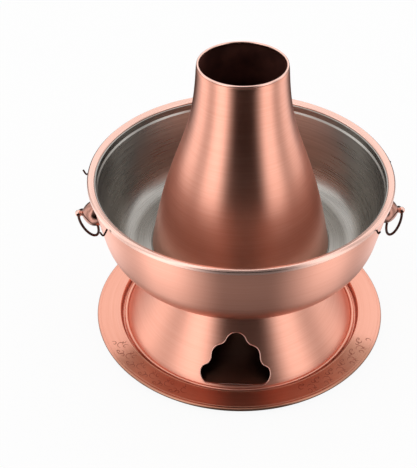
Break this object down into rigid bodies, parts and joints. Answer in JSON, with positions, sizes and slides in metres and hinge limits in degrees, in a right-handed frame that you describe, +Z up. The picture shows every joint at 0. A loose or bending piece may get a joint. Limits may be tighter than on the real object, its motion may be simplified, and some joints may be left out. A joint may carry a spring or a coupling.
{
  "type": "chimney hot pot",
  "caption": "Charcoal hot pot: flared chimney through a ring-shaped pan, pedestal with a stepped air vent, small ring handles, and a flat-brimmed tray beneath.",
  "frame": {"origin": "centre of the tray's underside, on the chimney's axis, on the surface that the tray rests on", "axes": "+Z up along the chimney, -Y towards the air vent's side, the two handles along -X (left) and +X (right)"},
  "size_m": [0.3542, 0.325, 0.322],
  "materials": {
    "copper_steel": "copper-coloured brushed satin",
    "plain_steel": "plain satin steel",
    "dark_fittings": "dark brown satin",
    "grate_iron": "rough black"
  },
  "bodies": {
    "tray": {"tray": "copper_steel"},
    "pot": {"pedestal": "copper_steel", "pedestal_foot_ring": "copper_steel", "neck_ring": "plain_steel", "base_rivets": "plain_steel", "bowl_shell": "copper_steel", "bowl_liner": "plain_steel", "rim_ring": "copper_steel", "rim_hooks": "dark_fittings", "chimney": "copper_steel", "chimney_lip_ring": "copper_steel", "fire_sleeve": "plain_steel", "grate_lugs": "plain_steel", "handle_boss_left": "copper_steel", "handle_boss_right": "copper_steel", "handle_eye_left": "copper_steel", "handle_eye_right": "copper_steel", "handle_washers": "plain_steel", "handle_nuts": "plain_steel"},
    "fire_grate": {"grate": "grate_iron"},
    "ring_left": {"handle_ring_left": "dark_fittings"},
    "ring_right": {"handle_ring_right": "dark_fittings"}
  },
  "joints": [
    {"name": "pot_lift", "type": "slide", "parent": "tray", "child": "pot", "axis": [0, 0, 1], "range_m": [0, 0.1]},
    {"name": "grate_lift", "type": "slide", "parent": "pot", "child": "fire_grate", "axis": [0, 0, 1], "range_m": [0, 0.04]},
    {"name": "ring_left_swing", "type": "hinge", "parent": "pot", "child": "ring_left", "pos_m": [-0.1734, 0, 0.1416], "axis": [0, 1, 0], "range_deg": [-15, 180]},
    {"name": "ring_right_swing", "type": "hinge", "parent": "pot", "child": "ring_right", "pos_m": [0.1734, 0, 0.1416], "axis": [0, -1, 0], "range_deg": [-15, 180]}
  ]
}
